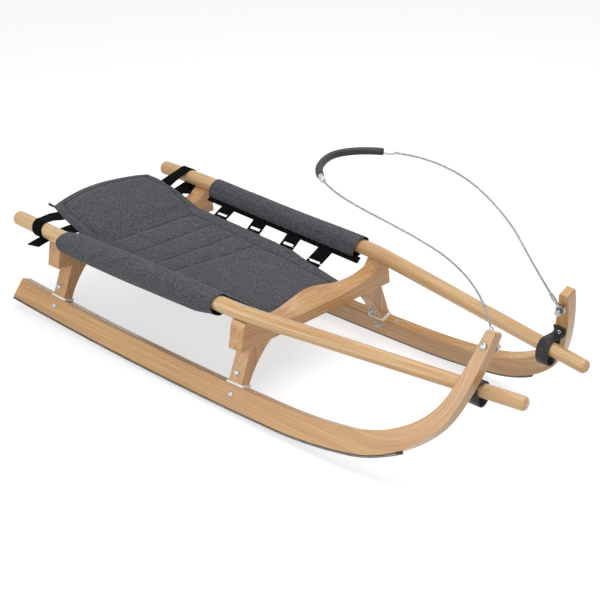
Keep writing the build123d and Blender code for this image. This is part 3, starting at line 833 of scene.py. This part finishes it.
# Millimetres, rear end first: the roll's ends, how far each rim stands ahead of its end, and the radii
# at shares of the length. Rims and radii go every 45 degrees: 0 inwards, 90 up, 180 outwards, 270 down
NEAR_ENDS = (-432, -5)
NEAR_RIMS = ((-1, 5, 8, 2, -6, -3, 0, 4), (0, -2, -4, -7, -9, -8, -4, 0))
NEAR_PROFILES = (
    (0.0, (18, 17, 16.5, 17, 18, 25, 30, 23)),
    (0.12, (22, 21.5, 20, 21, 22, 28, 32, 26)),
    (0.4, (23, 23, 23, 23.5, 23, 30, 33.5, 28)),
    (0.85, (23, 23, 22.5, 23, 22.5, 29, 33, 28)),
    (1.0, (20, 19.5, 18.5, 19, 20, 22.5, 24.5, 22.5)),
)
near_roll = rolled("seat_roll_right", RIGHT, NEAR_ENDS, NEAR_RIMS, NEAR_PROFILES, sewn_angle=45,
                   pressure=1.0, cap=0.0012, pucker=0.0)
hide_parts("seat_sleeve_right")

FAR_ENDS = (-419, 9)
FAR_RIMS = ((-2, 0, 2, 2, 0, -2, -4, -6), (-4, 0, 4, 4, 0, -4, -8, -8))
FAR_PROFILES = (
    (0.0, (18.5, 17.2, 17, 17, 17.5, 19, 22, 27.5)),
    (0.5, (18.8, 17.6, 17.5, 17.5, 18, 19.5, 22.5, 28)),
    (1.0, (20, 21, 21.5, 20, 18.5, 19, 22.5, 27.5)),
)
far_roll = rolled("seat_roll_left", LEFT, FAR_ENDS, FAR_RIMS, FAR_PROFILES, sewn_angle=315,
                  pressure=0.5, cap=0.0006, pucker=1.6)
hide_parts("seat_sleeve_left")

# The loose end of the hem at the flap's near rear corner
TAIL = ((-0.558, -0.1195, 0.2005), (-0.566, -0.1215, 0.2025), (-0.572, -0.1235, 0.2040),
        (-0.577, -0.1265, 0.2075))
TAIL_WIDTH, TAIL_THICKNESS = 0.006, 0.0016
tail_line = through([Vector(p) for p in TAIL], 0.003)
tail_band = band(tail_line, Vector((0, 1, 0.3)), TAIL_WIDTH, TAIL_THICKNESS)
piece("seat_hem_tail", *tail_band, "sled", seat_fabric, "seat_fabric")


# Black edging band under the laced roll, and the tabs that lace the panel to it. Each tab has a slot
# near its inner end
BAND_ANGLE = 315
BAND_RADIUS, BAND_WIDTH, WEB_THICKNESS = 0.029, 0.014, 0.0022
BAND_ENDS = (-0.421, 0.018)
BAND_STEPS, TAB_STEPS = 60, 4
TAB_PLACES = (-0.355, -0.258, -0.158, -0.068)
TAB_HALF, SLOT_HALF = 0.019, 0.013
TAB_OVERLAP, TAB_TUCK, BAR_WIDTH, SLOT_WIDTH = 0.004, 0.006, 0.005, 0.0065

band_line = []
for i in range(BAND_STEPS + 1):
    x = BAND_ENDS[0] + (BAND_ENDS[1] - BAND_ENDS[0]) * i / BAND_STEPS
    band_line.append(off_rail(x, LEFT, BAND_ANGLE, BAND_RADIUS))
down_in = (off_rail(0, LEFT, BAND_ANGLE, 1) - rail_at(0, LEFT)).normalized()
parts = [band(band_line, down_in, BAND_WIDTH, WEB_THICKNESS)]
for middle in TAB_PLACES:
    x = middle / MM
    far_y, far_z = panel_row(x)[5:7]
    pad = Vector((middle, far_y * MM, (far_z - PANEL_TOP_DROP) * MM))
    start = off_rail(middle, LEFT, BAND_ANGLE, BAND_RADIUS + BAND_WIDTH / 2 - TAB_OVERLAP)
    way = (pad - start).normalized()
    length = (pad - start).length + TAB_TUCK
    slot_end = length - TAB_TUCK - BAR_WIDTH
    slot_start = slot_end - SLOT_WIDTH
    lean = (panel_row(x + 19)[5] - panel_row(x - 19)[5]) / 38
    for low, high, left, right in ((0, slot_start, -TAB_HALF, TAB_HALF),
                                   (slot_start, slot_end, -TAB_HALF, -SLOT_HALF),
                                   (slot_start, slot_end, SLOT_HALF, TAB_HALF),
                                   (slot_end, length, -TAB_HALF, TAB_HALF)):
        centre = (left + right) / 2
        line = []
        for i in range(TAB_STEPS + 1):
            gone = low + (high - low) * i / TAB_STEPS
            line.append(start + way * gone + FORWARD * centre + way * lean * centre * gone / length)
        parts.append(band(line, FORWARD, right - left, WEB_THICKNESS))
lacing = piece("seat_lacing_tabs", *merged(parts), "sled", webbing, "webbing")
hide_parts("seat_tabs")


# Webbing straps that tie the flap to the rails' rear ends
STRAP_WIDTH, STRAP_THICKNESS = 0.028, 0.0020
WRAP_RADIUS = RAIL_RADIUS + STRAP_THICKNESS / 2 + 0.0003
WRAP_START, WRAP_TURN, WRAP_STEPS = 82, 21, 9
# For each side the upper end, the wrap's x at its top and under the rail, the lower end and the tail.
# y counts from the sled's middle towards that side
REAR_STRAPS = {
    RIGHT: (((-0.541, 0.108, 0.1912), (-0.537, 0.127, 0.1922), (-0.524, 0.160, 0.2018)), -0.505, -0.494,
            ((-0.490, 0.165, 0.1805), (-0.487, 0.140, 0.1810), (-0.485, 0.118, 0.1800)),
            ((-0.497, 0.192, 0.1768), (-0.493, 0.215, 0.1765), (-0.485, 0.240, 0.1770))),
    LEFT: (((-0.524, 0.120, 0.1840), (-0.522, 0.141, 0.1880), (-0.518, 0.166, 0.1990)), -0.512, -0.504,
           ((-0.500, 0.176, 0.1770), (-0.496, 0.154, 0.1730), (-0.493, 0.135, 0.1690)),
           ((-0.500, 0.200, 0.1768), (-0.490, 0.180, 0.1745), (-0.484, 0.166, 0.1720))),
}
# A strap's width turns within this distance from along the rail to along the flap's slope
FLAP_TURN = 0.05
LIE_ALONG_FLAP = Vector((0.93, 0, -0.27))
for side, (upper, top_x, low_x, lower, tail) in REAR_STRAPS.items():
    wrap = []
    for i in range(WRAP_STEPS + 1):
        x = top_x + (low_x - top_x) * i / WRAP_STEPS
        wrap.append(off_rail(x, side, WRAP_START + WRAP_TURN * i, WRAP_RADIUS))
    flat = [[Vector((x, side * y, z)) for x, y, z in points] for points in (upper, lower, tail)]
    line = through(flat[0] + wrap + flat[1], 0.004)
    inner_y = abs(rail_at(top_x, side).y) - RAIL_RADIUS
    across = [FORWARD.lerp(LIE_ALONG_FLAP, eased((inner_y - abs(p.y)) / FLAP_TURN)) for p in line]
    parts = [band(line, across, STRAP_WIDTH, STRAP_THICKNESS),
             band(through(flat[2], 0.004), FORWARD, STRAP_WIDTH, STRAP_THICKNESS)]
    strap = piece(f"rear_strap_webbing_{SIDE_NAMES[side]}", *merged(parts), "sled", webbing, "webbing")
    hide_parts(f"rear_strap_{SIDE_NAMES[side]}")

# Leather slings that hold the rails to the horns: millimetres inwards and up from the rail's middle
HORN_PATH = ((-17.5, 35), (-22, 24), (-19.5, 18.5), (-12, 16.6), (-2, 15.8), (8, 13.8), (16, 6.5),
             (20, -5), (18.5, -18), (12, -27.5), (4, -30.5), (-4, -28), (-11, -18), (-15.3, -5),
             (-16.8, 6), (-18.5, 13))
LEATHER_WIDTH, LEATHER_THICKNESS = 0.024, 0.0028
SLING_X, PLATE_X, PLATE_HEIGHT, POINTS_TO_SLING = 0.505, 0.512, 0.219, 5
HORN_BOLT_X, HORN_BOLT_HEIGHT = 0.527, 0.285
for side in SIDE_NAMES:
    path = []
    for index, (inwards, up) in enumerate(HORN_PATH):
        x = PLATE_X + (SLING_X - PLATE_X) * eased(index / POINTS_TO_SLING)
        middle = rail_at(SLING_X, side)
        path.append(Vector((x, middle.y - side * inwards * MM, middle.z + up * MM)))
    sling = band(through(path, 0.003), FORWARD, LEATHER_WIDTH, LEATHER_THICKNESS)
    strap = piece(f"horn_sling_{SIDE_NAMES[side]}", *sling, "sled", leather, "strap_leather")
    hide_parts(f"horn_strap_{SIDE_NAMES[side]}")


# Bolts and screws
DOME = ((0.62, 0.88), (0.85, 0.66), (0.97, 0.35), (1.0, 0.0), (0.98, -0.2))


def dome_head(place, axis, radius, height):
    """A round head with a six-sided socket."""
    socket = [(radius * 0.01, height * 0.35), (radius * 0.36, height * 0.35), (radius * 0.38, height * 0.96)]
    return lathed(socket + [(radius * r, height * h) for r, h in DOME], place, axis, hexagon=(1, 2))


def nut(place, axis, radius):
    """A thin round washer, a six-sided nut and the end of its bolt."""
    rim = radius * 1.55
    washer = [(radius * 0.2, 0.0013), (radius * 1.5, 0.0013), (rim, 0.0008), (rim, -0.0003)]
    body = [(radius * 0.5, 0.0050), (radius * 0.86, 0.0053), (radius, 0.0048), (radius, 0.0010)]
    end = [(radius * 0.05, 0.0068), (radius * 0.42, 0.0068), (radius * 0.5, 0.0062), (radius * 0.5, 0.0040)]
    return merged([lathed(washer, place, axis), lathed(body, place, axis, hexagon=(1, 2, 3)),
                   lathed(end, place, axis)])


def flat_screw(place, axis, radius):
    """A countersunk head, nearly flush, with a six-sided socket."""
    profile = [(radius * 0.02, -0.0006), (radius * 0.42, -0.0006), (radius * 0.45, 0.0003),
               (radius * 0.85, 0.0004), (radius, 0.0001), (radius, -0.0008)]
    return lathed(profile, place, axis, hexagon=(1, 2))


# What each bolt goes through, its x and its height in the runner's plane
BOLTS = (("front_leg", 0.046, 0.072), ("rear_leg", -0.466, 0.076), ("runner", 0.046, 0.031),
         ("runner", -0.465, 0.036))
DECK_SCREWS = (-0.566, -0.350, -0.131, 0.092, 0.277)
RAIL_SCREWS = (-0.456, 0.048)
BOLT_RADIUS, BOLT_HEIGHT, NUT_RADIUS = 0.0058, 0.0030, 0.0052
DECK_SCREW_RADIUS, RAIL_SCREW_RADIUS, SCREW_LIFT = 0.0036, 0.0042, 0.0002
PLATE_SCREW_RADIUS, PLATE_SCREW_HEIGHT = 0.0052, 0.0024
HORN_CAP_RADIUS, HORN_CAP_HEIGHT, HORN_CAP_SINK = 0.0062, 0.0030, 0.0015
# How far off the lines start that look for the surface under a fastener
OUTSIDE, INSIDE, ABOVE_DECK, NEAR_BY = 0.08, -0.12, 0.14, 0.05
for side, label in SIDE_NAMES.items():
    out = outward(side)
    parts, nuts = [], []
    for name, x, height in BOLTS:
        place, _ = landing(f"{name}_{label}", on_runner(x, height, OUTSIDE, side), -out)
        parts.append(dome_head(place, out, BOLT_RADIUS, BOLT_HEIGHT))
        place, _ = landing(f"{name}_{label}", on_runner(x, height, INSIDE, side), out)
        nuts.append(nut(place, -out, NUT_RADIUS))
    piece(f"leg_and_runner_bolts_{label}", *merged(parts + nuts), "sled", zinc, "zinc_hardware")
    rise = Vector((0, -side * sin(CANT), cos(CANT)))
    parts = []
    for x in DECK_SCREWS:
        place, normal = landing(f"runner_{label}", on_runner(x, ABOVE_DECK, 0, side), -rise)
        parts.append(flat_screw(place, normal, DECK_SCREW_RADIUS))
    for x in RAIL_SCREWS:
        middle = rail_at(x, side)
        place, _ = landing(f"side_rail_{label}", middle + UP * NEAR_BY, -UP)
        parts.append(flat_screw(place + UP * SCREW_LIFT, UP, RAIL_SCREW_RADIUS))
    place = on_runner(PLATE_X, PLATE_HEIGHT + 0.002, -RUNNER_WIDTH / 2 - LEATHER_THICKNESS - 0.0012, side)
    parts.append(dome_head(place, -out, PLATE_SCREW_RADIUS, PLATE_SCREW_HEIGHT))
    beside = on_runner(HORN_BOLT_X, HORN_BOLT_HEIGHT, NEAR_BY, side)
    place, _ = landing(f"horn_bolt_{label}", beside, -out)
    parts.append(dome_head(place - out * HORN_CAP_SINK, out, HORN_CAP_RADIUS, HORN_CAP_HEIGHT))
    piece(f"screws_{label}", *merged(parts), "sled", zinc, "zinc_hardware")


# Sewing thread, 4 mm stitches laid on the cloth
STITCH_LENGTH, STITCH_PITCH, THREAD_RADIUS = 0.0040, 0.0045, 0.0007
# As shares of the thread's radius: its tips' radius, and how far tips and middle stand off the cloth
TIP_SHARE, TIP_LIFT_SHARE, MIDDLE_LIFT_SHARE = 0.6, 0.1, 0.4
ABOVE_SEAT = 0.3
cloth_mesh = panel.evaluated_get(bpy.context.evaluated_depsgraph_get()).to_mesh()
cloth_points = [v.co for v in cloth_mesh.vertices]
cloth_tree = BVHTree.FromPolygons(cloth_points, [p.vertices for p in cloth_mesh.polygons])


def stitches(line):
    """Short threads along a line of points, dropped onto the panel from above."""
    made = []
    places, _ = evenly(line, STITCH_PITCH)
    for start, after in zip(places, places[1:]):
        end = start + (after - start).normalized() * STITCH_LENGTH
        ends = []
        for point, lift in ((start, TIP_LIFT_SHARE), (start.lerp(end, 0.5), MIDDLE_LIFT_SHARE),
                            (end, TIP_LIFT_SHARE)):
            place, normal, _, _ = cloth_tree.ray_cast(Vector((point.x, point.y, ABOVE_SEAT)), -UP)
            if place:
                ends.append(place + normal * (THREAD_RADIUS * lift))
        if len(ends) == 3:
            tip = THREAD_RADIUS * TIP_SHARE
            made.append(tube(ends, [tip, THREAD_RADIUS, tip], count=6))
    return made


def level(points):
    """Points of x and y in millimetres as places at height 0."""
    return [Vector((x * MM, y * MM, 0)) for x, y in points]


SEAM_REAR, FAR_HEM_END, NEAR_HEM_END, CROSS_SEAM_START = -566, 27, -436, -112
seams = [level([(x, along_table(FAR_HEM, x)) for x in range(SEAM_REAR, FAR_HEM_END, 6)]),
         level([(x, along_table(NEAR_HEM, x)) for x in range(SEAM_REAR, NEAR_HEM_END, 6)])]
for seam in CROSS_SEAMS:
    far_end = round(along_table(FAR_HEM, seam[1]))
    seams.append(level([(cross_seam_x(seam, y), y) for y in range(CROSS_SEAM_START, far_end, 8)]))
rear_x = PANEL_ROWS[0][0] + REAR_HEM
rear_row = [panel_middle(rear_x, column) for column in range(STRIP_COLUMNS, columns - 4, 3)]
seams.append([Vector((p.x, p.y, 0)) * MM for p in rear_row])
parts = [stitch for line in seams for stitch in stitches(line)]
# The stitches' dark colour is in part painted shade of the seam grooves
piece("seat_panel_stitching", *merged(parts), "sled", seam_thread_and_shade, "seat_fabric")


# Floor, lamps and backdrop: both glow for the rays that draw them, so that they come out white, and
# light the sled only a little
FLOOR_HALF = 12.0
FLOOR_GLOW, AMBIENT = 0.62, 0.36


def drawing_rays(tree):
    """1 for rays that come from the camera, a mirror or through glass, 0 for all others."""
    rays = add(tree, "LightPath").outputs
    mirrored = add(tree, "Math", rays["Is Camera Ray"], rays["Is Glossy Ray"], operation="MAXIMUM")
    return add(tree, "Math", mirrored, rays["Is Transmission Ray"], operation="MAXIMUM")


floor_mesh = bpy.data.meshes.new("floor")
floor_corners = [(x * FLOOR_HALF, y * FLOOR_HALF, 0) for x, y in ((-1, -1), (1, -1), (1, 1), (-1, 1))]
floor_mesh.from_pydata(floor_corners, [], [(0, 1, 2, 3)])
floor = bpy.data.objects.new("floor", floor_mesh)
scene.collection.objects.link(floor)
floor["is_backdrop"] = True
white, tree, shader = finish_of("pale_floor", {"Roughness": 0.9, "Base Color": linear("c6c6c6")})
floor_mesh.materials.append(white)
glow = add(tree, "Emission", Color=linear("ffffff"),
           Strength=add(tree, "Math", drawing_rays(tree), FLOOR_GLOW, operation="MULTIPLY"))
both = add(tree, "AddShader", shader, glow)
tree.links.new(both.outputs[0], tree.nodes["Material Output"].inputs["Surface"])

world = bpy.data.worlds.new("studio")
world.use_nodes = True
scene.world = world
tree = world.node_tree
backdrop = tree.nodes["Background"]
strength = add(tree, "Math", drawing_rays(tree), 1 - AMBIENT, AMBIENT, operation="MULTIPLY_ADD")
tree.links.new(strength.outputs[0], backdrop.inputs["Strength"])
backdrop.inputs["Color"].default_value = linear("ffffff")

# name: place, aimed at, width and height, watts
LAMPS = {
    "overhead_softbox": ((0.4, 0.3, 2.6), (0.1, 0.0, 0.1), (2.4, 2.0), 40),
    "front_softbox": ((1.7, -2.5, 1.6), (0.3, 0.0, 0.15), (1.6, 1.6), 28),
    "side_softbox": ((-1.0, -2.15, 0.65), (0.4, 0.0, 0.25), (1.2, 0.8), 13),
}
for name, (place, target, (width, height), watts) in LAMPS.items():
    light = bpy.data.lights.new(name, "AREA")
    light.shape = "RECTANGLE"
    light.size, light.size_y, light.energy = width, height, watts
    lamp = bpy.data.objects.new(name, light)
    lamp.location = place
    lamp.rotation_euler = (Vector(target) - Vector(place)).to_track_quat("-Z", "Y").to_euler()
    scene.collection.objects.link(lamp)
scene.view_settings.view_transform = "Standard"

low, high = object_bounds()
